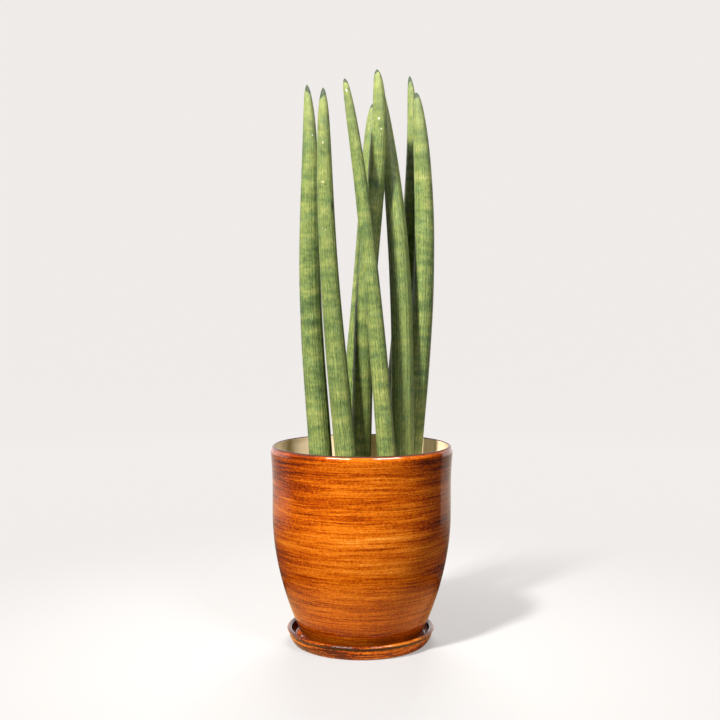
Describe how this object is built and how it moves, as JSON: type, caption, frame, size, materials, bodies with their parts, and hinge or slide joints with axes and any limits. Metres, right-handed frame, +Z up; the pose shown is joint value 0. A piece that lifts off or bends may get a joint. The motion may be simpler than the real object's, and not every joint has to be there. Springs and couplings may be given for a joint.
{
  "type": "potted cylindrical snake plant",
  "caption": "Upright cylindrical snake plant: round tapering banded spears growing from soil in a wood-look glazed ceramic pot on a matching saucer.",
  "frame": {"origin": "on the pot's axis, at the plane that the saucer stands on", "axes": "+Z up along the pot's axis, -Y towards the pictured side, +X to the right in the picture"},
  "size_m": [0.1836, 0.1836, 0.5765],
  "materials": {
    "saucer_glaze": "high-gloss brown glaze with brushed orange streaks",
    "pot_glaze": "high-gloss wood-look glaze, amber with dark mahogany streaks, cream inside",
    "potting_mix": "matt dark bark and peat potting mix",
    "rhizome_skin": "matt orange-brown skin",
    "leaf_skin": "satin grooved leaf skin, yellow-green with darker cross-bands"
  },
  "bodies": {
    "root": {"saucer": "saucer_glaze", "pot": "pot_glaze", "soil": "potting_mix", "rhizome": "rhizome_skin", "leaf_1": "leaf_skin", "leaf_2": "leaf_skin", "leaf_3": "leaf_skin", "leaf_4": "leaf_skin", "leaf_5": "leaf_skin", "leaf_6": "leaf_skin", "leaf_7": "leaf_skin", "leaf_8": "leaf_skin"}
  },
  "joints": []
}
